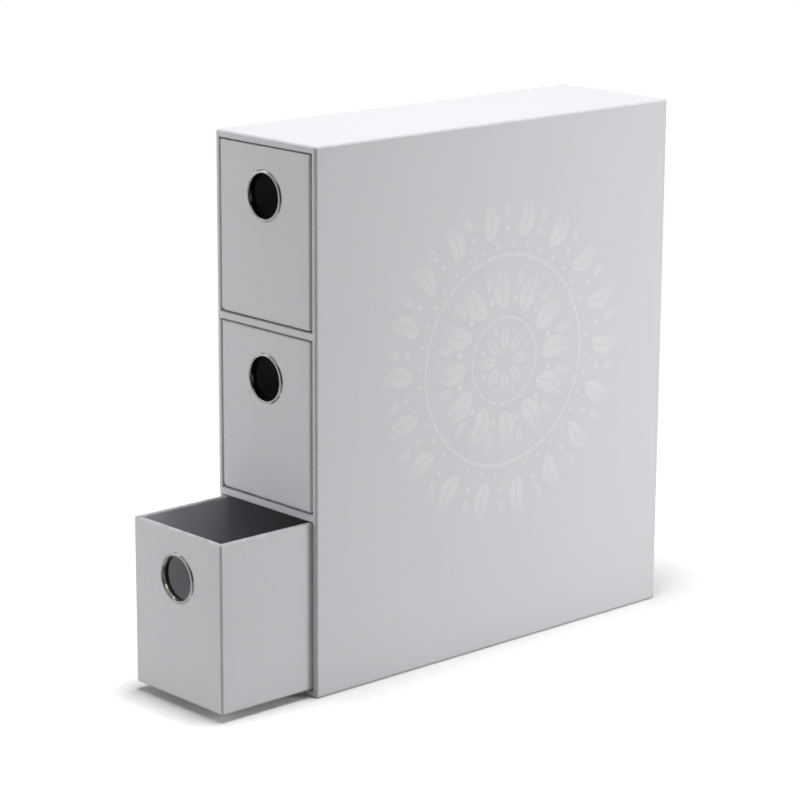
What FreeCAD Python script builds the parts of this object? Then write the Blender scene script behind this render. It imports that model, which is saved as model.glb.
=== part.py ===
import FreeCAD, Part
import os

# A tall, narrow card box: a greyboard case with bays one above another, and a greyboard drawer in each bay.
# Every board is covered with paper, and each drawer's front has a metal finger ring set in it.
# Millimetres. +Z is up, the drawers open towards -Y, and the origin is the centre of the case's base.

os.makedirs("parts", exist_ok=True)

# Room inside a drawer, for sleeved cards that stand on their lower edges
store_width = 72.4
store_length = 274.6
store_height = 97.0

# Materials: greyboard thicknesses, and one paper for wraps and linings
drawer_board = 2.6
drawer_base_board = 2.6
case_board = 3.0
case_top_board = 3.8
case_base_board = 3.2
shelf_board = 4.0
paper = 0.3

# Corners of the bare boards: the paper that is drawn over them adds its own thickness
board_edge_r = 0.9
board_rim_r = 0.5

# Paper laps: how far inside a rounded rim the lining starts, and how far a wrap turns under a base or a back
drawer_lining_margin = 0.4
case_lining_margin = 1.6
drawer_turn_under = 10.0
case_turn_under = 15.0

# Clearances between a drawer and its bay
side_gap = 1.0
top_gap = 0.4
glide_gap = 0.8
rear_gap = 1.0

# Finger ring: a domed eyelet clinched over a washer on the inside of the drawer's front
ring_bore_r = 12.9
ring_barrel_wall = 0.9
ring_flange_width = 2.2
ring_flange_height = 1.1
ring_crest_in = 0.6
ring_mouth_height = 0.95
ring_lip_width = 0.7
ring_lip_thickness = 0.5
ring_fit = 0.05
washer_width = 1.8
washer_thickness = 0.6
ring_drop = 28.3

# How far each drawer stands out of the case, from the lowest bay upwards
drawer_names = ["bottom_drawer", "middle_drawer", "top_drawer"]
pull_out = {"bottom_drawer": 66.3, "middle_drawer": 0.25, "top_drawer": 0.4}
shelf_names = ["lower_shelf", "upper_shelf"]

# Wall thicknesses with paper on both faces
drawer_wall = drawer_board + 2 * paper
drawer_base = drawer_base_board + 2 * paper
case_wall = case_board + 2 * paper
case_top = case_top_board + 2 * paper
case_base = case_base_board + 2 * paper
shelf = shelf_board + 2 * paper

# Outside of a drawer
drawer_width = store_width + 2 * drawer_wall
drawer_length = store_length + 2 * drawer_wall
drawer_height = store_height + drawer_base

# Inside of a bay, and outside of the case
bay_width = drawer_width + 2 * side_gap
bay_height = drawer_height + glide_gap + top_gap
bay_depth = drawer_length + rear_gap
bay_pitch = bay_height + shelf
case_width = bay_width + 2 * case_wall
case_depth = bay_depth + case_wall
case_height = case_base + len(drawer_names) * bay_pitch - shelf + case_top
front_y = -case_depth / 2
bay_floors = [case_base + i * bay_pitch for i in range(len(drawer_names))]

# Ring radii
barrel_r = ring_bore_r + ring_barrel_wall
flange_r = ring_bore_r + ring_flange_width
ring_hole_r = barrel_r + ring_fit
washer_r = ring_hole_r + washer_width

# Longer than anything it has to cut through
reach = case_width + case_depth + case_height


def block(low, high):
    """A box between two opposite corners."""
    size = [b - a for a, b in zip(low, high)]
    return Part.makeBox(size[0], size[1], size[2], FreeCAD.Vector(*low))


def grown(low, high, by):
    """The corners of a box with each face moved outwards."""
    return [a - by for a in low], [b + by for b in high]


def flat_edges(shape, low, high):
    """The edges that lie within a box."""
    slack = 0.001
    limits = FreeCAD.BoundBox(*[a - slack for a in low], *[b + slack for b in high])
    return [edge for edge in shape.Edges if limits.isInside(edge.BoundBox)]


def one_solid(shape):
    """The same shape without the seams that cutting leaves, as a bare solid where it is one piece."""
    clean = shape.removeSplitter()
    return clean.Solids[0] if len(clean.Solids) == 1 else clean


def save(shape, node):
    one_solid(shape).exportStep("parts/" + node + ".step")


# The case: boards (skin 0), and the same boards with their paper (skin paper)

case_low = [-case_width / 2, front_y, 0]
case_high = [case_width / 2, front_y + case_depth, case_height]


def bay_corners(floor):
    """Opposite corners of a bay's clear space, with its mouth drawn well out of the case."""
    low = [-bay_width / 2, front_y - reach, floor]
    high = [bay_width / 2, front_y + bay_depth, floor + bay_height]
    return low, high


def case_form(skin):
    body = block(*grown(case_low, case_high, skin - paper))
    body = body.makeFillet(board_edge_r + skin, body.Edges)
    mouth_y = front_y + paper - skin
    rims = []
    for floor in bay_floors:
        low, high = grown(*bay_corners(floor), paper - skin)
        body = body.cut(block(low, high))
    for floor in bay_floors:
        low, high = grown(*bay_corners(floor), paper - skin)
        rims += flat_edges(body, [low[0], mouth_y, low[2]], [high[0], mouth_y, high[2]])
    return body.makeFillet(board_rim_r + skin, rims)


case_core = case_form(0)
case_skin = case_form(paper).cut(case_core)

# Faces of the boards, with their paper off
core_x = bay_width / 2 + paper
core_back_y = front_y + bay_depth + paper
core_floor_z = case_base - paper
core_ceiling_z = bay_floors[-1] + bay_height + paper

# The top, bottom and back boards lie between the two side boards, and the back board between top and bottom
save(case_core.common(block([-reach, -reach, -reach], [-core_x, reach, reach])), "left_side_board")
save(case_core.common(block([core_x, -reach, -reach], [reach, reach, reach])), "right_side_board")
save(case_core.common(block([-core_x, -reach, core_ceiling_z], [core_x, reach, reach])), "top_board")
save(case_core.common(block([-core_x, -reach, -reach], [core_x, reach, core_floor_z])), "bottom_board")
save(
    case_core.common(block([-core_x, core_back_y, core_floor_z], [core_x, reach, core_ceiling_z])),
    "back_board",
)
for name, floor in zip(shelf_names, bay_floors):
    low_z = floor + bay_height + paper
    board = block([-core_x, -reach, low_z], [core_x, core_back_y, low_z + shelf_board])
    save(case_core.common(board), name + "_board")

# Paper inside the bays starts just behind the rounded edges of the front frame
bay_lining_y = front_y + board_rim_r + paper + case_lining_margin
case_wrap = case_skin
for name, floor in zip(drawer_names, bay_floors):
    low, high = grown(*bay_corners(floor), paper)
    lining = case_skin.common(block([low[0], bay_lining_y, low[2]], high))
    save(lining, name.replace("drawer", "bay_lining"))
    case_wrap = case_wrap.cut(lining)

# A strip of the wrap's paper is folded round the front edge of each shelf
for name, floor in zip(shelf_names, bay_floors):
    low_z = floor + bay_height
    fold = block([-bay_width / 2, -reach, low_z], [bay_width / 2, bay_lining_y, low_z + shelf])
    strip = case_skin.common(fold)
    save(strip, name + "_edging")
    case_wrap = case_wrap.cut(strip)

# Flat sheets close the base and the back, inside the edges that the wrap turns over
sheet_x = case_width / 2 - case_turn_under
base_sheet = case_skin.common(
    block([-sheet_x, front_y + case_turn_under, 0], [sheet_x, -front_y - case_turn_under, paper])
)
back_sheet = case_skin.common(
    block(
        [-sheet_x, -front_y - paper, case_turn_under],
        [sheet_x, -front_y, case_height - case_turn_under],
    )
)
save(base_sheet, "case_base_sheet")
save(back_sheet, "case_back_sheet")
save(case_wrap.cut(base_sheet).cut(back_sheet), "case_wrap")


# The drawers: each is built with its outer front corner at y = 0 and its underside at z = 0, then moved

drawer_low = [-drawer_width / 2, 0, 0]
drawer_high = [drawer_width / 2, drawer_length, drawer_height]
store_low = [-store_width / 2, drawer_wall, drawer_base]
store_high = [store_width / 2, drawer_wall + store_length, drawer_height + reach]
ring_centre = FreeCAD.Vector(0, 0, drawer_height - ring_drop)


def ring_bore(radius):
    """A cylinder along the ring's axis, right through the drawer's front."""
    start = ring_centre - FreeCAD.Vector(0, drawer_wall, 0)
    return Part.makeCylinder(radius, 3 * drawer_wall, start, FreeCAD.Vector(0, 1, 0))


def drawer_form(skin):
    body = block(*grown(drawer_low, drawer_high, skin - paper))
    body = body.makeFillet(board_edge_r + skin, body.Edges)
    low, high = grown(store_low, store_high, paper - skin)
    body = body.cut(block(low, high))
    rim_z = drawer_height - paper + skin
    rim = flat_edges(body, [low[0], low[1], rim_z], [high[0], high[1], rim_z])
    body = body.makeFillet(board_rim_r + skin, rim)
    return body.cut(ring_bore(ring_hole_r))


def turned(points, arc_top):
    """A ring turned about the finger hole's axis, from (radius, depth) points and one domed side."""
    corners = [ring_centre + FreeCAD.Vector(r, y, 0) for r, y in points]
    dome = Part.Arc(corners[-1], ring_centre + FreeCAD.Vector(arc_top[0], arc_top[1], 0), corners[0])
    sides = [Part.LineSegment(a, b).toShape() for a, b in zip(corners, corners[1:])]
    profile = Part.Face(Part.Wire(sides + [dome.toShape()]))
    return profile.revolve(ring_centre, FreeCAD.Vector(0, 1, 0), 360)


drawer_core = drawer_form(0)
drawer_skin = drawer_form(paper).cut(drawer_core)

inner_x = store_width / 2 + paper
inner_front_y = drawer_wall - paper
inner_rear_y = drawer_wall + store_length + paper
inner_floor_z = drawer_base - paper
lining_top_z = drawer_height - board_rim_r - paper - drawer_lining_margin
under_x = drawer_width / 2 - drawer_turn_under

# The front and rear boards run the full width, the side boards fit between them, and the base inside all four
drawer_pieces = {
    "front_board": drawer_core.common(block([-reach, -reach, -reach], [reach, inner_front_y, reach])),
    "rear_board": drawer_core.common(block([-reach, inner_rear_y, -reach], [reach, reach, reach])),
    "left_board": drawer_core.common(
        block([-reach, inner_front_y, -reach], [-inner_x, inner_rear_y, reach])
    ),
    "right_board": drawer_core.common(
        block([inner_x, inner_front_y, -reach], [reach, inner_rear_y, reach])
    ),
    "base_board": drawer_core.common(
        block([-inner_x, inner_front_y, -reach], [inner_x, inner_rear_y, inner_floor_z])
    ),
    "lining": drawer_skin.common(
        block([-inner_x, inner_front_y, inner_floor_z], [inner_x, inner_rear_y, lining_top_z])
    ),
    "base_sheet": drawer_skin.common(
        block([-under_x, drawer_turn_under, 0], [under_x, drawer_length - drawer_turn_under, paper])
    ),
}
drawer_pieces["wrap"] = drawer_skin.cut(drawer_pieces["lining"]).cut(drawer_pieces["base_sheet"])

# The ring: dome on the front face, barrel through the front, and a lip clinched over the washer
washer_back_y = drawer_wall + washer_thickness
lip_back_y = washer_back_y + ring_lip_thickness
lip_r = barrel_r + ring_lip_width
drawer_pieces["finger_ring"] = turned(
    [
        (ring_bore_r, -ring_mouth_height),
        (ring_bore_r, lip_back_y),
        (lip_r, lip_back_y),
        (lip_r, washer_back_y),
        (barrel_r, washer_back_y),
        (barrel_r, 0),
        (flange_r, 0),
    ],
    (ring_bore_r + ring_crest_in, -ring_flange_height),
)
washer_start = ring_centre + FreeCAD.Vector(0, drawer_wall, 0)
washer_disc = Part.makeCylinder(washer_r, washer_thickness, washer_start, FreeCAD.Vector(0, 1, 0))
drawer_pieces["ring_washer"] = washer_disc.cut(ring_bore(ring_hole_r))

for drawer, floor in zip(drawer_names, bay_floors):
    place = FreeCAD.Vector(0, front_y - pull_out[drawer], floor + glide_gap)
    for piece, shape in drawer_pieces.items():
        save(shape.translated(place), drawer + "_" + piece)
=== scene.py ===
import math

import bmesh
import bpy
from mathutils import Matrix, Vector


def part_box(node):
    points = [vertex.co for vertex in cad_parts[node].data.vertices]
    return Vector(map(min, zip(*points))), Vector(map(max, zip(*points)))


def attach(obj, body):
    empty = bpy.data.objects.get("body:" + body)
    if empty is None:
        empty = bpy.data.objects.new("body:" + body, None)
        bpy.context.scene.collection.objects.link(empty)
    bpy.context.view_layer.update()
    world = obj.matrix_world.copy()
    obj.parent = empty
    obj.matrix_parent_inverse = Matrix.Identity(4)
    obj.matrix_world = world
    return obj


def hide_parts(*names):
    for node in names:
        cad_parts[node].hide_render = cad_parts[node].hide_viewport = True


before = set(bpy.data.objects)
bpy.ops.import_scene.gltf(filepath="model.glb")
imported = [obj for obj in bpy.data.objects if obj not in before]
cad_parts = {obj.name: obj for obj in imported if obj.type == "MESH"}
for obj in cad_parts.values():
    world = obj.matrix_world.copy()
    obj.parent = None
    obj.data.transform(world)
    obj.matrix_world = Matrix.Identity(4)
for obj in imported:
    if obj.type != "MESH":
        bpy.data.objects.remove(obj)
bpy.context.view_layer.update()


# ---------------------------------------------------------------- Studio
# A long lens looks down a little on the case's front right corner. Soft lamps stand low in front
# on the left, behind on the right and behind on the left, and a small one hangs overhead. A white
# sweep runs under and behind it all, and grey cards round the table show only in bright metal.

MM = 0.001
case_low, case_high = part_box("case_wrap")
lens_place = Vector((1.2431, case_low.y - 1.0332, 0.5751))
lens_azimuth = math.radians(47.544)
lens_elevation = math.radians(14.076)
lens_roll = math.radians(0.288)
film_width = 36.0
focal_px = 2900.7
image_px = 800

scene = bpy.context.scene
lens = bpy.data.cameras.new("camera")
lens.sensor_fit = "HORIZONTAL"
lens.sensor_width = film_width
lens.lens = focal_px / image_px * film_width
lens.clip_end = 50.0
camera = bpy.data.objects.new("camera", lens)
scene.collection.objects.link(camera)
backwards = Vector((
    math.sin(lens_azimuth) * math.cos(lens_elevation),
    -math.cos(lens_azimuth) * math.cos(lens_elevation),
    math.sin(lens_elevation),
))
level_right = Vector((math.cos(lens_azimuth), math.sin(lens_azimuth), 0))
level_up = backwards.cross(level_right)
right = level_right * math.cos(lens_roll) + level_up * math.sin(lens_roll)
up = level_up * math.cos(lens_roll) - level_right * math.sin(lens_roll)
camera.matrix_world = Matrix.Translation(lens_place) @ Matrix((right, up, backwards)).transposed().to_4x4()
scene.camera = camera


def soft_lamp(name, place, aim, size, watts):
    lamp = bpy.data.lights.new(name, "AREA")
    lamp.shape = "SQUARE"
    lamp.size = size
    lamp.energy = watts
    holder = bpy.data.objects.new(name, lamp)
    holder.visible_camera = holder.visible_glossy = False
    scene.collection.objects.link(holder)
    facing = (Vector(place) - Vector(aim)).to_track_quat("Z", "Y")
    holder.matrix_world = Matrix.Translation(place) @ facing.to_matrix().to_4x4()


soft_lamp("left_softbox", (-0.8, -0.95, 0.13), aim=(0, 0, 0.13), size=0.45, watts=8.4)
soft_lamp("right_softbox", (0.78, 0.44, 0.21), aim=(0, 0.02, 0.2), size=0.45, watts=4.7)
soft_lamp("rear_softbox", (-1.0, 1.0, 0.17), aim=(0, 0.14, 0.17), size=0.45, watts=4.5)
soft_lamp("overhead_softbox", (0.05, -0.05, 1.8), aim=(0.05, -0.05, 0.16), size=0.5, watts=27.6)


def seen_in_picture(tree, ray_kinds):
    """1 for rays of the named kinds, 0 for the light that falls on other things."""
    light_path = tree.nodes.new("ShaderNodeLightPath")
    total = light_path.outputs[ray_kinds[0]]
    for kind in ray_kinds[1:]:
        most = tree.nodes.new("ShaderNodeMath")
        most.operation = "MAXIMUM"
        tree.links.new(total, most.inputs[0])
        tree.links.new(light_path.outputs[kind], most.inputs[1])
        total = most.outputs[0]
    return total


def plain_shader(tree, kind, grey):
    shader = tree.nodes.new(kind)
    shader.inputs["Color"].default_value = (grey, grey, grey, 1)
    return shader.outputs[0]


def mixed(tree, share, first, second):
    mix = tree.nodes.new("ShaderNodeMixShader")
    for socket, source in zip(mix.inputs, (share, first, second)):
        tree.links.new(source, socket)
    return mix.outputs[0]


picture_rays = ["Is Camera Ray", "Is Glossy Ray", "Is Transmission Ray"]
room_grey = 0.13
floor_grey = 0.45
shadow_radius = (0.30, 0.62)
sweep_reach = 6.0

room = bpy.data.worlds.new("studio")
scene.world = room
room.use_nodes = True
walls = room.node_tree
walls.nodes.clear()
walls.links.new(
    mixed(
        walls,
        seen_in_picture(walls, picture_rays),
        plain_shader(walls, "ShaderNodeBackground", room_grey),
        plain_shader(walls, "ShaderNodeBackground", 1.0),
    ),
    walls.nodes.new("ShaderNodeOutputWorld").inputs["Surface"],
)

sweep_paper = bpy.data.materials.new("white_sweep")
sweep_paper.use_nodes = True
paper_tree = sweep_paper.node_tree
paper_tree.nodes.clear()
from_middle = paper_tree.nodes.new("ShaderNodeVectorMath")
from_middle.operation = "LENGTH"
paper_tree.links.new(paper_tree.nodes.new("ShaderNodeTexCoord").outputs["Object"], from_middle.inputs[0])
past_shadow = paper_tree.nodes.new("ShaderNodeMapRange")
past_shadow.interpolation_type = "SMOOTHSTEP"
past_shadow.inputs["From Min"].default_value, past_shadow.inputs["From Max"].default_value = shadow_radius
paper_tree.links.new(from_middle.outputs["Value"], past_shadow.inputs["Value"])
shadowed_white = plain_shader(paper_tree, "ShaderNodeBsdfDiffuse", 1.0)
clear_white = plain_shader(paper_tree, "ShaderNodeEmission", 1.0)
paper_tree.links.new(
    mixed(
        paper_tree,
        seen_in_picture(paper_tree, picture_rays),
        plain_shader(paper_tree, "ShaderNodeBsdfDiffuse", floor_grey),
        mixed(paper_tree, past_shadow.outputs["Result"], shadowed_white, clear_white),
    ),
    paper_tree.nodes.new("ShaderNodeOutputMaterial").inputs["Surface"],
)

sweep_bm = bmesh.new()
bmesh.ops.create_grid(sweep_bm, x_segments=1, y_segments=1, size=sweep_reach)
sweep_mesh = bpy.data.meshes.new("sweep")
sweep_bm.to_mesh(sweep_mesh)
sweep_bm.free()
sweep_mesh.materials.append(sweep_paper)
sweep = bpy.data.objects.new("sweep", sweep_mesh)
scene.collection.objects.link(sweep)
scene.view_settings.view_transform = "Standard"


flag_steps = 24
near_floor = 2 * MM


def flag(name, grey, turn, section):
    """A bent card round the table, over a range of degrees from the front to the right. The section is
    a list of radius and height. Lamps shine through it, and only bright metal shows it."""
    felt = bpy.data.materials.new(name)
    felt.use_nodes = True
    felt.node_tree.nodes.clear()
    felt.node_tree.links.new(
        plain_shader(felt.node_tree, "ShaderNodeEmission", grey),
        felt.node_tree.nodes.new("ShaderNodeOutputMaterial").inputs["Surface"],
    )
    card = bmesh.new()
    rows = []
    for i in range(flag_steps + 1):
        angle = math.radians(turn[0] + (turn[1] - turn[0]) * i / flag_steps)
        rows.append([card.verts.new((r * math.sin(angle), -r * math.cos(angle), z)) for r, z in section])
    for row, following in zip(rows, rows[1:]):
        for i in range(len(section) - 1):
            card.faces.new((row[i], following[i], following[i + 1], row[i + 1]))
    mesh = bpy.data.meshes.new(name)
    card.to_mesh(mesh)
    card.free()
    mesh.materials.append(felt)
    holder = bpy.data.objects.new(name, mesh)
    scene.collection.objects.link(holder)
    holder.visible_camera = holder.visible_diffuse = holder.visible_shadow = holder.visible_transmission = False


flag("right_flag", 0.06, (8, 104), [(0.8, 0.0), (0.8, 1.1)])
flag("low_flag", 0.25, (8, 104), [(0.22, near_floor), (0.8, near_floor)])
flag("left_flag", 0.08, (-112, -60), [(0.9, 0.55), (0.9, 0.95)])
flag("front_flag", 0.52, (-92, 5), [(0.218, near_floor), (0.9, near_floor), (0.9, 0.28)])
flag("ceiling_flag", 0.3, (0, 360), [(0.0, 1.2), (0.75, 1.2)])
flag("slope_flag", 0.38, (-36, 8), [(0.9, 0.29), (0.9, 0.8), (0.75, 1.2)])


# ---------------------------------------------------------------- Case boards
# Seven panels of recycled greyboard, 3 to 4 mm thick, are glued edge to edge into an open-fronted
# box with two shelves. Paper hides them all, and each keeps the flecked pulp of its own surface.


def maths(tree, operation, first, second):
    """A Math node from two sockets or numbers."""
    node = tree.nodes.new("ShaderNodeMath")
    node.operation = operation
    for place, value in enumerate((first, second)):
        if isinstance(value, (int, float)):
            node.inputs[place].default_value = value
        else:
            tree.links.new(value, node.inputs[place])
    return node.outputs[0]


def noise(tree, where, scale, detail):
    """Noise between 0 and 1 at a scale in bumps per metre, which may be a socket."""
    node = tree.nodes.new("ShaderNodeTexNoise")
    tree.links.new(where, node.inputs["Vector"])
    if isinstance(scale, (int, float)):
        node.inputs["Scale"].default_value = scale
    else:
        tree.links.new(scale, node.inputs["Scale"])
    node.inputs["Detail"].default_value = detail
    return node.outputs["Fac"]


def pulp_surface_group():
    """The skin of paper or board: drifting tone, flecks of darker fibre, and the height of its grain."""
    tree = bpy.data.node_groups.new("pulp_surface", "ShaderNodeTree")
    sockets = tree.interface
    sockets.new_socket(name="Colour", in_out="INPUT", socket_type="NodeSocketColor")
    for name in ("Drift", "Fleck Depth", "Fleck Scale", "Grain Scale", "Roughness"):
        sockets.new_socket(name=name, in_out="INPUT", socket_type="NodeSocketFloat")
    sockets.new_socket(name="Colour", in_out="OUTPUT", socket_type="NodeSocketColor")
    for name in ("Roughness", "Height"):
        sockets.new_socket(name=name, in_out="OUTPUT", socket_type="NodeSocketFloat")
    given = tree.nodes.new("NodeGroupInput").outputs
    result = tree.nodes.new("NodeGroupOutput").inputs
    where = tree.nodes.new("ShaderNodeTexCoord").outputs["Object"]

    drift = maths(tree, "SUBTRACT", noise(tree, where, 11.0, 3.0), 0.5)
    drift = maths(tree, "ADD", maths(tree, "MULTIPLY", drift, given["Drift"]), 1.0)
    fleck = noise(tree, where, given["Fleck Scale"], 2.0)
    fleck = maths(tree, "MAXIMUM", maths(tree, "SUBTRACT", fleck, 0.6), 0.0)
    fleck = maths(tree, "MULTIPLY", maths(tree, "MULTIPLY", fleck, given["Fleck Depth"]), 6.0)
    tone = maths(tree, "SUBTRACT", drift, fleck)
    tint = tree.nodes.new("ShaderNodeVectorMath")
    tint.operation = "SCALE"
    tree.links.new(given["Colour"], tint.inputs[0])
    tree.links.new(tone, tint.inputs["Scale"])
    tree.links.new(tint.outputs[0], result["Colour"])
    tree.links.new(maths(tree, "MULTIPLY", given["Roughness"], drift), result["Roughness"])
    tree.links.new(noise(tree, where, given["Grain Scale"], 4.0), result["Height"])
    return tree


pulp_surface = pulp_surface_group()


def pulp_material(name, colour, roughness, drift, fleck, fleck_scale, grain_scale, grain_height):
    """A sheet of paper or board. Returns the material and its skin's node."""
    material = bpy.data.materials.new(name)
    material.use_nodes = True
    tree = material.node_tree
    shader = tree.nodes["Principled BSDF"]
    skin = tree.nodes.new("ShaderNodeGroup")
    skin.node_tree = pulp_surface
    skin.inputs["Colour"].default_value = (*colour, 1)
    skin.inputs["Drift"].default_value = drift
    skin.inputs["Fleck Depth"].default_value = fleck
    skin.inputs["Fleck Scale"].default_value = fleck_scale
    skin.inputs["Grain Scale"].default_value = grain_scale
    skin.inputs["Roughness"].default_value = roughness
    grain = tree.nodes.new("ShaderNodeBump")
    grain.inputs["Distance"].default_value = grain_height
    tree.links.new(skin.outputs["Colour"], shader.inputs["Base Color"])
    tree.links.new(skin.outputs["Roughness"], shader.inputs["Roughness"])
    tree.links.new(skin.outputs["Height"], grain.inputs["Height"])
    tree.links.new(grain.outputs["Normal"], shader.inputs["Normal"])
    return material, skin


def paint_nodes(material, names):
    for name in names:
        part = bpy.data.objects[name]
        part.data.materials.clear()
        part.data.materials.append(material)


greyboard, _ = pulp_material(
    "greyboard", (0.46, 0.44, 0.42), roughness=0.85, drift=0.10, fleck=0.8, fleck_scale=420.0,
    grain_scale=900.0, grain_height=0.05 * MM)
case_boards = ["left_side_board", "right_side_board", "top_board", "bottom_board", "back_board"]
case_boards += ["lower_shelf_board", "upper_shelf_board"]
paint_nodes(greyboard, case_boards)


# ---------------------------------------------------------------- Case cover
# Pale paper with a satin film is pasted over the boards: round every edge, mitred at the front
# frame's corners, and turned 2 mm into each bay and 15 mm under and behind. A strip of its own
# covers each shelf's front. The rounded edges take a darker colour in soft patches, partly as
# handling wear and partly as painted shade where the light falls off round them.

paper = 0.3 * MM
case_edge_r = 1.6 * MM
rim_r = 0.8 * MM
mitre_half_width = 0.22 * MM
mitre_depth = 0.13 * MM
fold_band = 0.8
fold_skin = 0.6 * MM
fold_slack = 0.1 * MM
print_height = 0.03 * MM
satin_colour = (0.700, 0.682, 0.712)
# The soiled colour stands partly for handling wear and partly for painted shade on rounded edges and rims.
soiled_and_shaded_colour = (0.280, 0.268, 0.285)
edge_soil_and_shade = 0.35
edge_segments = 5
flat_angle = math.radians(40)


def worn_and_shaded_edge_group():
    """Mixes in a darker colour, in soft patches, where an edge mask is above 0: handling wear and painted
    shade.
    """
    tree = bpy.data.node_groups.new("worn_and_shaded_edge", "ShaderNodeTree")
    sockets = tree.interface
    for name in ("Colour", "Soiled And Shaded Colour"):
        sockets.new_socket(name=name, in_out="INPUT", socket_type="NodeSocketColor")
    for name in ("Edge", "Amount", "Patch Scale"):
        sockets.new_socket(name=name, in_out="INPUT", socket_type="NodeSocketFloat")
    sockets.new_socket(name="Colour", in_out="OUTPUT", socket_type="NodeSocketColor")
    given = tree.nodes.new("NodeGroupInput").outputs
    result = tree.nodes.new("NodeGroupOutput").inputs
    where = tree.nodes.new("ShaderNodeTexCoord").outputs["Object"]
    patch = maths(tree, "ADD", noise(tree, where, given["Patch Scale"], 3.0), 0.1)
    mask = maths(tree, "MULTIPLY", maths(tree, "MULTIPLY", patch, given["Edge"]), given["Amount"])
    mix = tree.nodes.new("ShaderNodeMix")
    mix.data_type = "RGBA"
    tree.links.new(mask, mix.inputs["Factor"])
    tree.links.new(given["Colour"], mix.inputs["A"])
    tree.links.new(given["Soiled And Shaded Colour"], mix.inputs["B"])
    tree.links.new(mix.outputs["Result"], result["Colour"])
    return tree


worn_and_shaded_edge = worn_and_shaded_edge_group()
satin_grain = {
    "drift": 0.03, "fleck": 0.05, "fleck_scale": 700.0, "grain_scale": 1500.0, "grain_height": 0.006 * MM}
satin_paper, satin_skin = pulp_material("satin_paper", satin_colour, roughness=0.60, **satin_grain)
satin_tree = satin_paper.node_tree
# Rounded faces mix in the darker colour: handling wear and painted shade.
wear_and_shade_mix = satin_tree.nodes.new("ShaderNodeGroup")
wear_and_shade_mix.node_tree = worn_and_shaded_edge
wear_and_shade_mix.inputs["Colour"].default_value = (*satin_colour, 1)
wear_and_shade_mix.inputs["Soiled And Shaded Colour"].default_value = (*soiled_and_shaded_colour, 1)
wear_and_shade_mix.inputs["Amount"].default_value = 1.0
wear_and_shade_mix.inputs["Patch Scale"].default_value = 160.0
rounded = satin_tree.nodes.new("ShaderNodeAttribute")
rounded.attribute_name = "rounded"
satin_tree.links.new(rounded.outputs["Fac"], wear_and_shade_mix.inputs["Edge"])
satin_tree.links.new(wear_and_shade_mix.outputs["Colour"], satin_skin.inputs["Colour"])


def new_cover():
    bm = bmesh.new()
    bm.faces.layers.float.new("rounded")
    return bm


def add_panel(bm, axis, level, cuts, keep):
    """Cells between the cuts, in the plane where one axis has one level, where keep(centre) is true."""
    first, second = [i for i in range(3) if i != axis]
    for a0, a1 in zip(cuts[first], cuts[first][1:]):
        for b0, b1 in zip(cuts[second], cuts[second][1:]):
            centre = Vector((0, 0, 0))
            centre[axis], centre[first], centre[second] = level, (a0 + a1) / 2, (b0 + b1) / 2
            if not keep(centre):
                continue
            cell = []
            for a, b in ((a0, b0), (a1, b0), (a1, b1), (a0, b1)):
                corner = centre.copy()
                corner[first], corner[second] = a, b
                cell.append(bm.verts.new(corner))
            bm.faces.new(cell)


def everywhere(centre):
    return True


def same(a, b):
    return abs(a - b) < 1e-7


def within(a, low, high):
    return low - 1e-7 < a < high + 1e-7


def join_panels(bm):
    bmesh.ops.remove_doubles(bm, verts=bm.verts, dist=1e-7)
    bmesh.ops.recalc_face_normals(bm, faces=bm.faces)


def round_off(bm, radius, chosen):
    """Rounds the edges that a test on their two ends picks, and marks the new faces as rounded, for the darker
    colour of wear and painted shade.
    """
    edges = [e for e in bm.edges if len(e.link_faces) == 2 and chosen(e.verts[0].co, e.verts[1].co)]
    made = bmesh.ops.bevel(
        bm, geom=edges, offset=radius, offset_type="OFFSET", segments=edge_segments,
        profile=0.5, affect="EDGES", clamp_overlap=False,
    )
    mark = bm.faces.layers.float["rounded"]
    for face in made["faces"]:
        face[mark] = edge_soil_and_shade


def on_box_edge(low, high):
    """A test for edges that lie on two outer faces of a box."""
    def test(a, b):
        flats = 0
        for i in range(3):
            flats += same(a[i], low[i]) and same(b[i], low[i])
            flats += same(a[i], high[i]) and same(b[i], high[i])
        return flats >= 2
    return test


def press_fold(bm, start, end, outwards):
    """Presses a fine fold into the skin along a line from start to end, seen from outwards."""
    along = (end - start).normalized()
    across = along.cross(outwards).normalized()
    reach = (end - start).length

    def near(point, slack):
        offset = point - start
        off_line = abs(offset.dot(across))
        return off_line < reach * fold_band and abs(offset.dot(outwards)) < fold_skin and (
            -slack < offset.dot(along) < reach + slack)

    for shift in (-mitre_half_width, 0.0, mitre_half_width):
        faces = [f for f in bm.faces if near(f.calc_center_median(), 0.0)]
        edges = {e for f in faces for e in f.edges}
        verts = {v for f in faces for v in f.verts}
        bmesh.ops.bisect_plane(
            bm, geom=faces + list(edges) + list(verts), plane_co=start + across * shift,
            plane_no=across, dist=1e-7,
        )
    bm.normal_update()
    for vert in bm.verts:
        if near(vert.co, fold_slack) and abs((vert.co - start).dot(across)) < 1e-7:
            vert.co -= vert.normal * mitre_depth


def plain_mesh(piece):
    """The piece's mesh with its modifiers applied, put in place of the first."""
    view = bpy.context.evaluated_depsgraph_get()
    made = bpy.data.meshes.new_from_object(piece.evaluated_get(view))
    first = piece.data
    piece.modifiers.clear()
    piece.data = made
    bpy.data.meshes.remove(first)
    made.name = piece.name


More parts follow.
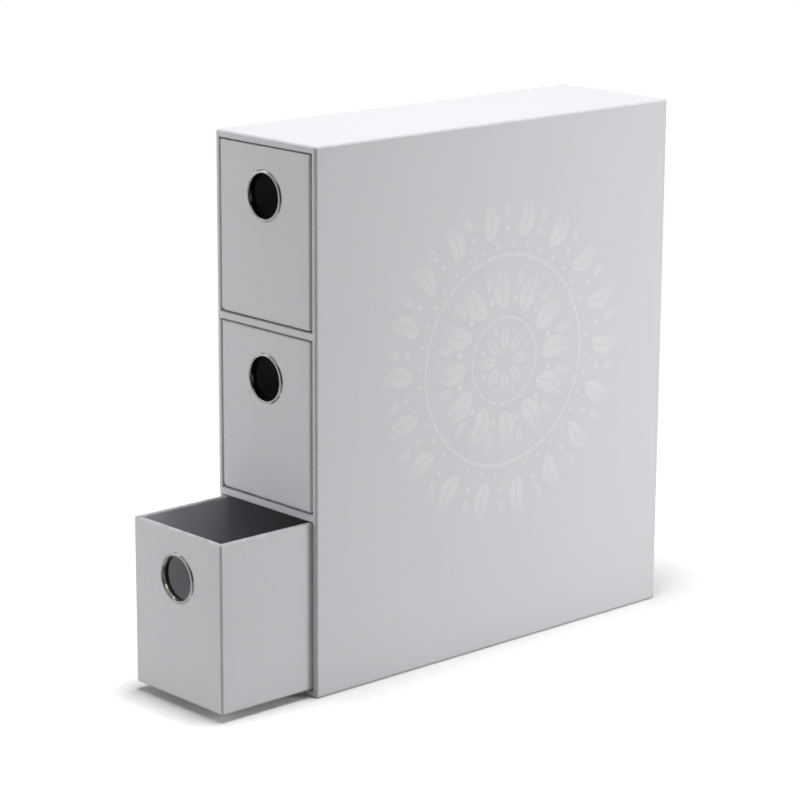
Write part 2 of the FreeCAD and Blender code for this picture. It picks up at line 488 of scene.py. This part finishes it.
def finished(name, bm, material, body, nodes, thickness=0.0):
    """Makes a bmesh a piece: its paper's thickness, crisp flats and soft edges, and its place on a body."""
    mesh = bpy.data.meshes.new(name)
    bm.to_mesh(mesh)
    bm.free()
    mesh.materials.append(material)
    piece = bpy.data.objects.new(name, mesh)
    scene.collection.objects.link(piece)
    if thickness:
        solid = piece.modifiers.new("paper", "SOLIDIFY")
        solid.thickness = thickness
        solid.offset = -1
        solid.use_even_offset = True
        plain_mesh(piece)
    piece.data.shade_smooth()
    piece.data.set_sharp_from_angle(angle=flat_angle)
    flats = piece.modifiers.new("flats", "WEIGHTED_NORMAL")
    flats.keep_sharp = True
    plain_mesh(piece)
    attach(piece, body)
    if nodes:
        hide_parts(*nodes)
    return piece


bays = ["bottom", "middle", "top"]
linings = [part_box(bay + "_bay_lining") for bay in bays]
bay_x = linings[0][1].x - paper
bay_heights = [(low.z + paper, high.z - paper) for low, high in linings]
turn_in_y = linings[0][0].y
side_x = case_high.x - print_height
cover_low = Vector((-side_x, case_low.y, 0))
cover_high = Vector((side_x, case_high.y, case_high.z))
base_low, base_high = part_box("case_base_sheet")
back_low, back_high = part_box("case_back_sheet")

x_cuts = [-side_x, -bay_x, base_low.x, base_high.x, bay_x, side_x]
y_cuts = [case_low.y, base_low.y, base_high.y, case_high.y]
z_cuts = sorted({0.0, case_high.z, back_low.z, back_high.z, *[z for pair in bay_heights for z in pair]})
case_cuts = [x_cuts, y_cuts, z_cuts]


def is_frame(centre):
    across = abs(centre.x) < bay_x
    return not (across and any(low < centre.z < high for low, high in bay_heights))


def off_back_sheet(centre):
    return abs(centre.x) > back_high.x or not back_low.z < centre.z < back_high.z


def off_base_sheet(centre):
    return abs(centre.x) > base_high.x or not base_low.y < centre.y < base_high.y


cover = new_cover()
add_panel(cover, 1, case_low.y, case_cuts, is_frame)
add_panel(cover, 1, case_high.y, case_cuts, off_back_sheet)
add_panel(cover, 0, -side_x, case_cuts, everywhere)
add_panel(cover, 0, side_x, case_cuts, everywhere)
add_panel(cover, 2, case_high.z, case_cuts, everywhere)
add_panel(cover, 2, 0.0, case_cuts, off_base_sheet)
turn_in = [case_low.y, turn_in_y]
for low, high in bay_heights:
    mouth_cuts = [[x for x in x_cuts if abs(x) <= bay_x], turn_in, [z for z in z_cuts if low <= z <= high]]
    for x in (-bay_x, bay_x):
        add_panel(cover, 0, x, mouth_cuts, everywhere)
    for z in (low, high):
        add_panel(cover, 2, z, mouth_cuts, everywhere)
join_panels(cover)


def on_bay_mouth(a, b):
    """True for an edge of a bay's mouth."""
    if not (same(a.y, case_low.y) and same(b.y, case_low.y)):
        return False
    for low, high in bay_heights:
        if all(within(p.x, -bay_x, bay_x) and within(p.z, low, high) for p in (a, b)):
            upright = same(abs(a.x), bay_x) and same(a.x, b.x)
            level = same(a.z, b.z) and (same(a.z, low) or same(a.z, high))
            if upright or level:
                return True
    return False


round_off(cover, rim_r, on_bay_mouth)
round_off(cover, case_edge_r, on_box_edge(cover_low, cover_high))
for x in (-1, 1):
    for outer_z, inner_z in ((0.0, bay_heights[0][0]), (case_high.z, bay_heights[2][1])):
        outer = Vector((x * side_x, case_low.y, outer_z))
        inner = Vector((x * bay_x, case_low.y, inner_z))
        press_fold(cover, outer, inner, Vector((0, -1, 0)))
    for outer_z, inner_z in ((case_edge_r, back_low.z), (case_high.z - case_edge_r, back_high.z)):
        outer = Vector((x * (side_x - case_edge_r), case_high.y, outer_z))
        inner = Vector((x * back_high.x, case_high.y, inner_z))
        press_fold(cover, outer, inner, Vector((0, 1, 0)))
    for outer_y, inner_y in ((case_low.y + case_edge_r, base_low.y), (case_high.y - case_edge_r, base_high.y)):
        outer = Vector((x * (side_x - case_edge_r), outer_y, 0))
        inner = Vector((x * base_high.x, inner_y, 0))
        press_fold(cover, outer, inner, Vector((0, 0, -1)))

for x in (-bay_x, bay_x):
    bmesh.ops.bisect_plane(
        cover, geom=cover.verts[:] + cover.edges[:] + cover.faces[:],
        plane_co=(x, 0, 0), plane_no=(1, 0, 0), dist=1e-7,
    )
shelves = {
    "lower_shelf": (bay_heights[0][1], bay_heights[1][0]),
    "upper_shelf": (bay_heights[1][1], bay_heights[2][0]),
}
for shelf, (low, high) in shelves.items():
    strip = new_cover()
    mark, new_mark = cover.faces.layers.float["rounded"], strip.faces.layers.float["rounded"]
    taken = []
    copies = {}
    for face in cover.faces:
        centre = face.calc_center_median()
        if centre.y < turn_in_y and abs(centre.x) < bay_x and within(centre.z, low, high):
            taken.append(face)
            for vert in face.verts:
                if vert not in copies:
                    copies[vert] = strip.verts.new(vert.co)
            strip.faces.new([copies[vert] for vert in face.verts])[new_mark] = face[mark]
    bmesh.ops.delete(cover, geom=taken, context="FACES")
    finished(shelf + "_strip", strip, satin_paper, "case", [shelf + "_edging"], paper)
finished("case_cover", cover, satin_paper, "case", ["case_wrap"], paper)


# ---------------------------------------------------------------- Back and base sheets
# A sheet of plain uncoated paper fills the window that the turned-in cover leaves on the back,
# and another does so underneath, where the case stands.

plain_paper, _ = pulp_material(
    "plain_paper", (0.635, 0.622, 0.645), roughness=0.78, drift=0.04, fleck=0.10, fleck_scale=650.0,
    grain_scale=1100.0, grain_height=0.03 * MM)
paint_nodes(plain_paper, ["case_back_sheet", "case_base_sheet"])


# ---------------------------------------------------------------- Bay linings
# Dark dyed paper lines the floor, ceiling, sides and back of each bay. It is pasted in before the
# back goes on, and starts just inside the mouth, over the end of the pale turn-in.

bay_paper, _ = pulp_material(
    "bay_paper", (0.110, 0.107, 0.115), roughness=0.74, drift=0.12, fleck=0.5, fleck_scale=650.0,
    grain_scale=1200.0, grain_height=0.03 * MM)
paint_nodes(bay_paper, [bay + "_bay_lining" for bay in bays])


# ---------------------------------------------------------------- Side prints
# Each side panel has a large round ornament of leaves and dots, printed tone on tone in a paler
# ink than the paper. Every leaf is two halves beside a bare vein, and its ink thins to the tip.

print_centre_y = case_low.y + 148.0 * MM
print_centre_z = 178.0 * MM
print_sink = 0.01 * MM
ink_colour = (0.772, 0.758, 0.784)

printed_paper, print_skin = pulp_material("printed_paper", satin_colour, roughness=0.55, **satin_grain)
print_tree = printed_paper.node_tree
ink = print_tree.nodes.new("ShaderNodeAttribute")
ink.attribute_name = "ink"
inked = print_tree.nodes.new("ShaderNodeMix")
inked.data_type = "RGBA"
inked.inputs["A"].default_value = (*satin_colour, 1)
inked.inputs["B"].default_value = (*ink_colour, 1)
print_tree.links.new(ink.outputs["Fac"], inked.inputs["Factor"])
print_tree.links.new(inked.outputs["Result"], print_skin.inputs["Colour"])


def motif_ring_tree():
    """Sets its own motif, which points along X, at even steps round a circle."""
    tree = bpy.data.node_groups.new("motif_ring", "GeometryNodeTree")
    sockets = tree.interface
    sockets.new_socket(name="Motif", in_out="INPUT", socket_type="NodeSocketGeometry")
    sockets.new_socket(name="Count", in_out="INPUT", socket_type="NodeSocketInt")
    sockets.new_socket(name="Radius", in_out="INPUT", socket_type="NodeSocketFloat")
    sockets.new_socket(name="Turn", in_out="INPUT", socket_type="NodeSocketFloat")
    sockets.new_socket(name="Paper", in_out="INPUT", socket_type="NodeSocketMaterial")
    sockets.new_socket(name="Print", in_out="OUTPUT", socket_type="NodeSocketGeometry")
    nodes, links = tree.nodes, tree.links
    given = nodes.new("NodeGroupInput").outputs
    result = nodes.new("NodeGroupOutput").inputs
    circle = nodes.new("GeometryNodeMeshCircle")
    links.new(given["Count"], circle.inputs["Vertices"])
    links.new(given["Radius"], circle.inputs["Radius"])
    step = maths(tree, "DIVIDE", math.tau, given["Count"])
    angle = maths(tree, "MULTIPLY", nodes.new("GeometryNodeInputIndex").outputs[0], step)
    facing = nodes.new("ShaderNodeCombineXYZ")
    links.new(angle, facing.inputs["Z"])
    rotation = nodes.new("FunctionNodeEulerToRotation")
    links.new(facing.outputs[0], rotation.inputs[0])
    place = nodes.new("GeometryNodeInstanceOnPoints")
    links.new(circle.outputs["Mesh"], place.inputs["Points"])
    links.new(given["Motif"], place.inputs["Instance"])
    links.new(rotation.outputs[0], place.inputs["Rotation"])
    whole_turn = nodes.new("ShaderNodeCombineXYZ")
    links.new(given["Turn"], whole_turn.inputs["Z"])
    turned = nodes.new("GeometryNodeTransform")
    links.new(place.outputs[0], turned.inputs["Geometry"])
    links.new(whole_turn.outputs[0], turned.inputs["Rotation"])
    real = nodes.new("GeometryNodeRealizeInstances")
    links.new(turned.outputs[0], real.inputs[0])
    coated = nodes.new("GeometryNodeSetMaterial")
    links.new(real.outputs[0], coated.inputs["Geometry"])
    links.new(given["Paper"], coated.inputs["Material"])
    links.new(coated.outputs[0], result["Print"])
    return tree


motif_ring = motif_ring_tree()
motif_sockets = {item.name: item.identifier for item in motif_ring.interface.items_tree}


def ink_patch(bm, top, strengths):
    """A closed flake of ink with this outline, from strip to strip, and an ink strength per point."""
    layer = bm.verts.layers.float["ink"]
    levels = []
    for height in (print_height, -print_sink):
        row = []
        for (x, y), strength in zip(top, strengths):
            vert = bm.verts.new((x, y, height))
            vert[layer] = strength
            row.append(vert)
        levels.append(row)
    upper, lower = levels
    count = len(upper)
    half = count // 2
    for i in range(half - 1):
        j = count - 1 - i
        bm.faces.new([upper[i], upper[i + 1], upper[j - 1], upper[j]])
        bm.faces.new([lower[i], lower[j], lower[j - 1], lower[i + 1]])
    for i in range(count):
        j = (i + 1) % count
        bm.faces.new([upper[i], lower[i], lower[j], upper[j]])


def leaf(length, width, bend, vein, full=1.0, thin=0.25):
    """Two half leaves from the origin along X, bowed sideways by the bend."""
    bm = bmesh.new()
    bm.verts.layers.float.new("ink")
    steps = 9
    for side in (-1, 1):
        rib, rim, strengths = [], [], []
        for i in range(steps + 1):
            t = i / steps
            bow = bend * math.sin(math.pi * t)
            swell = width / 2 * math.sin(math.pi * t ** 0.75) ** 0.9
            gap = min(vein / 2, 0.3 * swell)
            rib.append((length * t, bow + side * gap))
            rim.append((length * t, bow + side * max(swell, 0.06 * MM)))
            strengths.append(full + (thin - full) * t)
        ink_patch(bm, rib + rim[::-1], strengths + strengths[::-1])
    return bm


def dot(radius, strength=0.9):
    """A round spot of ink at the origin, as a flake of paired rim points."""
    bm = bmesh.new()
    bm.verts.layers.float.new("ink")
    points = [(radius * math.cos(a), radius * math.sin(a)) for a in [math.tau * i / 14 for i in range(14)]]
    ink_patch(bm, points, [strength] * 14)
    return bm


def dash(inner, outer, angle, strength=0.8):
    """One length of a thin printed circle, whose centre is the origin."""
    bm = bmesh.new()
    bm.verts.layers.float.new("ink")
    steps = 4
    arc = [angle * (i / steps - 0.5) for i in range(steps + 1)]
    points = [(inner * math.cos(a), inner * math.sin(a)) for a in arc]
    points += [(outer * math.cos(a), outer * math.sin(a)) for a in reversed(arc)]
    ink_patch(bm, points, [strength] * len(points))
    return bm


def ring_of(bm, count, radius, turn):
    """The motif repeated round a circle, as a plain mesh."""
    bmesh.ops.recalc_face_normals(bm, faces=bm.faces)
    mesh = bpy.data.meshes.new("motif")
    bm.to_mesh(mesh)
    bm.free()
    holder = bpy.data.objects.new("motif", mesh)
    scene.collection.objects.link(holder)
    repeat = holder.modifiers.new("ring", "NODES")
    repeat.node_group = motif_ring
    repeat[motif_sockets["Count"]] = count
    repeat[motif_sockets["Radius"]] = radius
    repeat[motif_sockets["Turn"]] = turn
    repeat[motif_sockets["Paper"]] = printed_paper
    view = bpy.context.evaluated_depsgraph_get()
    made = bpy.data.meshes.new_from_object(holder.evaluated_get(view))
    bpy.data.objects.remove(holder)
    bpy.data.meshes.remove(mesh)
    return made


ring_step = math.tau / 16
ornament = [
    ring_of(leaf(16 * MM, 7.0 * MM, 0.0, 0.8 * MM), 8, 6.5 * MM, 0.0),
    ring_of(dot(1.5 * MM), 8, 19 * MM, ring_step),
    ring_of(dash(25.5 * MM, 27.2 * MM, math.tau / 18), 16, 1e-6, 0.0),
    ring_of(leaf(27 * MM, 13.5 * MM, 3.0 * MM, 1.0 * MM), 12, 31 * MM, 0.0),
    ring_of(leaf(15 * MM, 5.0 * MM, -1.5 * MM, 0.6 * MM), 12, 44 * MM, math.tau / 24 + 0.03),
    ring_of(dot(1.9 * MM), 12, 38 * MM, math.tau / 24 + 0.03),
    ring_of(dash(63.0 * MM, 65.0 * MM, math.tau / 40), 36, 1e-6, 0.0),
    ring_of(dot(1.3 * MM), 36, 69.5 * MM, math.tau / 72),
    ring_of(leaf(27 * MM, 12.0 * MM, -3.5 * MM, 1.0 * MM), 18, 74 * MM, 0.0),
    ring_of(leaf(13 * MM, 5.0 * MM, 1.5 * MM, 0.6 * MM), 18, 86 * MM, math.tau / 36 - 0.02),
    ring_of(dot(1.7 * MM), 18, 80 * MM, math.tau / 36 - 0.02),
]
for side_name, sign in (("right", 1), ("left", -1)):
    sheet = bmesh.new()
    for made in ornament:
        sheet.from_mesh(made)
    for vert in sheet.verts:
        across, upwards, height = vert.co
        vert.co = (sign * (side_x + height), print_centre_y + sign * across, print_centre_z + upwards)
    mesh = bpy.data.meshes.new(side_name + "_side_print")
    sheet.to_mesh(mesh)
    sheet.free()
    mesh.materials.clear()
    mesh.materials.append(printed_paper)
    side_print = bpy.data.objects.new(side_name + "_side_print", mesh)
    scene.collection.objects.link(side_print)
    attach(side_print, "case")
for made in ornament:
    bpy.data.meshes.remove(made)


# ---------------------------------------------------------------- Drawer boards
# Each drawer is five panels of the same greyboard, 2.6 mm thick, with its front and rear outside
# its sides. Use has blunted the lower front corners of the upper two, board and paper together.

drawers = ["bottom_drawer", "middle_drawer", "top_drawer"]
board_edge_r = 0.9 * MM
blunt_reach = 3.2 * MM
blunt_left = {"middle_drawer": 3.0 * MM, "top_drawer": 3.0 * MM}
blunt_right = {"middle_drawer": 1.9 * MM, "top_drawer": 1.8 * MM}


def to_rounded_corner(reach, radius, cos, sin):
    """How far a rounded square corner is from the point a reach inside both its sides, along a direction."""
    flat = reach / max(cos, sin)
    if reach - flat * min(cos, sin) >= radius:
        return flat
    inset = reach - radius
    middle = inset * (cos + sin)
    return middle + math.sqrt(max(middle * middle - 2 * inset * inset + radius * radius, 0))


def blunt_corner(bm, corner, x_way, reach, old_r, new_r, fade_start, fade_end):
    """Rounds a lower front corner more, within reach of it, and less with every step back from the front."""
    for vert in bm.verts:
        across = (vert.co.x - corner.x) * x_way
        upwards = vert.co.z - corner.z
        depth = vert.co.y - corner.y
        fade = min(max((fade_end - depth) / (fade_end - fade_start), 0), 1)
        to_corner = Vector((reach - across, reach - upwards))
        if fade == 0 or min(to_corner) <= 1e-7 or to_corner.length < 1e-7:
            continue
        cos, sin = to_corner.normalized()
        old = to_rounded_corner(reach, old_r, cos, sin)
        new = to_rounded_corner(reach, new_r, cos, sin)
        scale = 1 + fade * (new / old - 1)
        vert.co.x = corner.x + x_way * (reach - to_corner.x * scale)
        vert.co.z = corner.z + reach - to_corner.y * scale


def blunt_lower_corners(bm, drawer, low, high, old_r, inset):
    """Blunts both lower front corners of a drawer's cover, or of the board an inset under it."""
    for x, x_way, radii in ((low.x, 1, blunt_left), (high.x, -1, blunt_right)):
        corner = Vector((x, low.y, low.z))
        blunt_corner(bm, corner, x_way, blunt_reach - inset, old_r, radii[drawer] - inset,
                     old_r, blunt_reach - inset)


for drawer in drawers:
    plain_boards = ["_rear_board", "_left_board", "_right_board", "_base_board"]
    if drawer in blunt_left:
        core = bmesh.new()
        core.from_mesh(bpy.data.objects[drawer + "_front_board"].data)
        bmesh.ops.remove_doubles(core, verts=core.verts, dist=1e-7)
        blunt_lower_corners(core, drawer, *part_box(drawer + "_front_board"), board_edge_r, paper)
        finished(drawer + "_front_core", core, greyboard, drawer, [drawer + "_front_board"])
    else:
        plain_boards.append("_front_board")
    paint_nodes(greyboard, [drawer + board for board in plain_boards])


# ---------------------------------------------------------------- Drawer covers
# The same satin paper wraps each drawer outside. It goes over the rim and a little way down
# inside, folds 10 mm under the base, and is cut out round the finger hole under the ring.

drawer_edge_r = 1.3 * MM
rim_band = 0.35 * drawer_edge_r
rim_soil_and_shade = 1.0
ring_hole_r = 13.85 * MM
hole_steps = 64
hole_frame = 17.0 * MM


def cut_finger_hole(bm, centre, front):
    """Fills the square cell round the hole with four faces that leave the circle open."""
    turned = [math.tau * i / hole_steps for i in range(hole_steps)]
    circle = [bm.verts.new((centre.x + ring_hole_r * math.cos(a), front, centre.z + ring_hole_r * math.sin(a)))
              for a in turned]
    corners = []
    for a in (45, 135, 225, 315):
        x_side = math.copysign(hole_frame, math.cos(math.radians(a)))
        z_side = math.copysign(hole_frame, math.sin(math.radians(a)))
        corners.append(bm.verts.new((centre.x + x_side, front, centre.z + z_side)))
    for quarter in range(4):
        first = hole_steps // 8 + quarter * hole_steps // 4
        arc = [circle[(first + i) % hole_steps] for i in range(hole_steps // 4 + 1)]
        bm.faces.new([corners[quarter], corners[(quarter + 1) % 4]] + arc[::-1])


for drawer in drawers:
    low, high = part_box(drawer + "_wrap")
    lining_low, lining_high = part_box(drawer + "_lining")
    sheet_low, sheet_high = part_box(drawer + "_base_sheet")
    ring_low, ring_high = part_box(drawer + "_finger_ring")
    hole = (ring_low + ring_high) / 2
    wall_x = lining_high.x - paper
    wall_front = lining_low.y + paper
    wall_rear = lining_high.y - paper
    turn_z = lining_high.z
    x_cuts = [low.x, -wall_x, sheet_low.x, hole.x - hole_frame]
    x_cuts += [hole.x + hole_frame, sheet_high.x, wall_x, high.x]
    y_cuts = [low.y, wall_front, sheet_low.y, sheet_high.y, wall_rear, high.y]
    z_cuts = [low.z, low.z + blunt_reach, hole.z - hole_frame, hole.z + hole_frame, high.z]
    cuts = [x_cuts, y_cuts, z_cuts]

    def off_hole(centre):
        return abs(centre.x - hole.x) > hole_frame or abs(centre.z - hole.z) > hole_frame

    def on_rim(centre):
        return abs(centre.x) > wall_x or not wall_front < centre.y < wall_rear

    def off_sheet(centre):
        return abs(centre.x) > sheet_high.x or not sheet_low.y < centre.y < sheet_high.y

    def on_inner_rim(a, b):
        if not (same(a.z, high.z) and same(b.z, high.z)):
            return False
        lengthways = same(a.x, b.x) and same(abs(a.x), wall_x)
        crossways = same(a.y, b.y) and (same(a.y, wall_front) or same(a.y, wall_rear))
        inside = all(within(p.x, -wall_x, wall_x) and within(p.y, wall_front, wall_rear) for p in (a, b))
        return inside and (lengthways or crossways)

    cover = new_cover()
    add_panel(cover, 1, low.y, cuts, off_hole)
    cut_finger_hole(cover, hole, low.y)
    add_panel(cover, 1, high.y, cuts, everywhere)
    add_panel(cover, 0, low.x, cuts, everywhere)
    add_panel(cover, 0, high.x, cuts, everywhere)
    add_panel(cover, 2, low.z, cuts, off_sheet)
    add_panel(cover, 2, high.z, cuts, on_rim)
    inner_cuts = [[x for x in x_cuts if abs(x) <= wall_x],
                  [y for y in y_cuts if wall_front <= y <= wall_rear], [turn_z, high.z]]
    for x in (-wall_x, wall_x):
        add_panel(cover, 0, x, inner_cuts, everywhere)
    for y in (wall_front, wall_rear):
        add_panel(cover, 1, y, inner_cuts, everywhere)
    join_panels(cover)
    round_off(cover, rim_r, on_inner_rim)
    round_off(cover, drawer_edge_r, on_box_edge(low, high))
    # The rim's top band takes the full darker colour: painted shade that dims the lit rim, along with handling
    # wear.
    mark = cover.faces.layers.float["rounded"]
    for face in cover.faces:
        if face.calc_center_median().z > high.z - rim_band:
            face[mark] = rim_soil_and_shade
    for x in (-1, 1):
        for outer_y, inner_y in ((low.y + drawer_edge_r, sheet_low.y), (high.y - drawer_edge_r, sheet_high.y)):
            outer = Vector((x * (high.x - drawer_edge_r), outer_y, low.z))
            inner = Vector((x * sheet_high.x, inner_y, low.z))
            press_fold(cover, outer, inner, Vector((0, 0, -1)))
    if drawer in blunt_left:
        blunt_lower_corners(cover, drawer, low, high, drawer_edge_r, 0.0)
    finished(drawer + "_cover", cover, satin_paper, drawer, [drawer + "_wrap"], paper)


# ---------------------------------------------------------------- Drawer linings and base sheets
# Matt grey paper covers the inside of each drawer, from its floor up to where the cover comes
# over the rim. A sheet of plain paper underneath hides the cover's folds.

lining_paper, _ = pulp_material(
    "lining_paper", (0.580, 0.564, 0.597), roughness=0.72, drift=0.08, fleck=0.15, fleck_scale=650.0,
    grain_scale=1200.0, grain_height=0.03 * MM)
paint_nodes(lining_paper, [drawer + "_lining" for drawer in drawers])
paint_nodes(plain_paper, [drawer + "_base_sheet" for drawer in drawers])


# ---------------------------------------------------------------- Finger rings and washers
# Each finger hole has a bright plated ring, pressed from one piece of steel strip: a domed
# flange in front, a plain barrel through the board, and a lip rolled outwards over a flat washer.

bore_r = 12.9 * MM
barrel_r = 13.8 * MM
flange_r = 15.1 * MM
crest_r = 13.5 * MM
crest_lift = 1.08 * MM
flare_depth = 1.3 * MM
ring_back = 4.3 * MM
lip_r = 14.5 * MM
washer_front = 3.2 * MM
washer_back = 3.8 * MM
washer_inner_r = 13.85 * MM
washer_outer_r = 15.65 * MM
curl_r = 0.9 * MM
lip_edge_r = 0.25 * MM
washer_edge_r = 0.12 * MM
barrel_front = 1.2 * MM
bright_depth = 0.8 * MM
turned_steps = 128

plated_steel = bpy.data.materials.new("plated_steel")
plated_steel.use_nodes = True
steel_tree = plated_steel.node_tree
steel_shader = steel_tree.nodes["Principled BSDF"]
# Faces more than bright_depth behind the drawer's front take a near-black colour and more roughness: painted
# shade inside the finger hole.
plated_or_painted_shade = steel_tree.nodes.new("ShaderNodeMix")
plated_or_painted_shade.data_type = "RGBA"
plated_or_painted_shade.inputs["A"].default_value = (0.62, 0.61, 0.595, 1)
plated_or_painted_shade.inputs["B"].default_value = (0.055, 0.054, 0.052, 1)
behind = steel_tree.nodes.new("ShaderNodeAttribute")
behind.attribute_name = "behind"
steel_tree.links.new(behind.outputs["Fac"], plated_or_painted_shade.inputs["Factor"])
steel_tree.links.new(plated_or_painted_shade.outputs["Result"], steel_shader.inputs["Base Color"])
steel_shader.inputs["Metallic"].default_value = 1.0
where = steel_tree.nodes.new("ShaderNodeTexCoord").outputs["Object"]
handling = maths(steel_tree, "MULTIPLY", noise(steel_tree, where, 260.0, 3.0), 0.16)
dulled = maths(steel_tree, "ADD", handling, maths(steel_tree, "MULTIPLY", behind.outputs["Fac"], 0.4))
steel_tree.links.new(maths(steel_tree, "ADD", dulled, 0.06), steel_shader.inputs["Roughness"])
ripple = steel_tree.nodes.new("ShaderNodeBump")
ripple.inputs["Distance"].default_value = 0.01 * MM
ripple.inputs["Strength"].default_value = 0.6
steel_tree.links.new(noise(steel_tree, where, 900.0, 2.0), ripple.inputs["Height"])
steel_tree.links.new(ripple.outputs["Normal"], steel_shader.inputs["Normal"])


def arc_points(middle_r, middle_depth, radius, first, last, steps):
    """Points of a section along an arc, as radius and depth behind the drawer's front. Angles in degrees."""
    points = []
    for i in range(steps + 1):
        a = math.radians(first + (last - first) * i / steps)
        points.append((middle_r + radius * math.cos(a), middle_depth - radius * math.sin(a)))
    return points


flank_r = ((flange_r - crest_r) ** 2 + crest_lift ** 2) / (2 * crest_lift)
flank_start = math.degrees(math.acos((flange_r - crest_r) / flank_r))
flare_width = crest_r - bore_r
ring_section = arc_points(crest_r, flank_r - crest_lift, flank_r, flank_start, 90, 12)
for r, rise in arc_points(crest_r, 0.0, flare_width, 98, 180, 8):
    ring_section.append((r, flare_depth * (1 + rise / flare_width) - crest_lift))
ring_section += [(bore_r, barrel_front), (bore_r, ring_back - curl_r)]
ring_section += arc_points(bore_r + curl_r, ring_back - curl_r, curl_r, 190, 262, 6)
ring_section += arc_points(lip_r - lip_edge_r, ring_back - lip_edge_r, lip_edge_r, -90, 0, 4)
ring_section += [(lip_r, washer_back), (barrel_r, washer_back), (barrel_r, 0.0)]
washer_section = []
for corner_r, corner_depth, first in (
        (washer_outer_r, washer_front, 0), (washer_inner_r, washer_front, 90),
        (washer_inner_r, washer_back, 180), (washer_outer_r, washer_back, 270)):
    inset_r = corner_r - washer_edge_r if corner_r == washer_outer_r else corner_r + washer_edge_r
    inset_depth = corner_depth + washer_edge_r if corner_depth == washer_front else corner_depth - washer_edge_r
    washer_section += arc_points(inset_r, inset_depth, washer_edge_r, first, first + 90, 3)


def turned_piece(name, section, centre, front, drawer, nodes):
    """A section spun round the finger hole's axis. Its faces behind the drawer's front are marked for the
    painted shade inside the hole.
    """
    bm = bmesh.new()
    mark = bm.faces.layers.float.new("behind")
    rings = []
    for step in range(turned_steps):
        a = math.tau * step / turned_steps
        way = Vector((math.cos(a), 0, math.sin(a)))
        rings.append([
            bm.verts.new(Vector((centre.x, front + depth, centre.z)) + way * r) for r, depth in section])
    for step in range(turned_steps):
        ring, following = rings[step], rings[(step + 1) % turned_steps]
        for i in range(len(section)):
            j = (i + 1) % len(section)
            face = bm.faces.new([ring[i], following[i], following[j], ring[j]])
            face[mark] = float(section[i][1] + section[j][1] > 2 * bright_depth)
    bmesh.ops.remove_doubles(bm, verts=bm.verts, dist=1e-7)
    bmesh.ops.recalc_face_normals(bm, faces=bm.faces)
    finished(name, bm, plated_steel, drawer, nodes)


for drawer in drawers:
    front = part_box(drawer + "_wrap")[0].y
    ring_low, ring_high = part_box(drawer + "_finger_ring")
    hole = (ring_low + ring_high) / 2
    turned_piece(drawer + "_ring", ring_section, hole, front, drawer, [drawer + "_finger_ring"])
    turned_piece(drawer + "_washer", washer_section, hole, front, drawer, [drawer + "_ring_washer"])
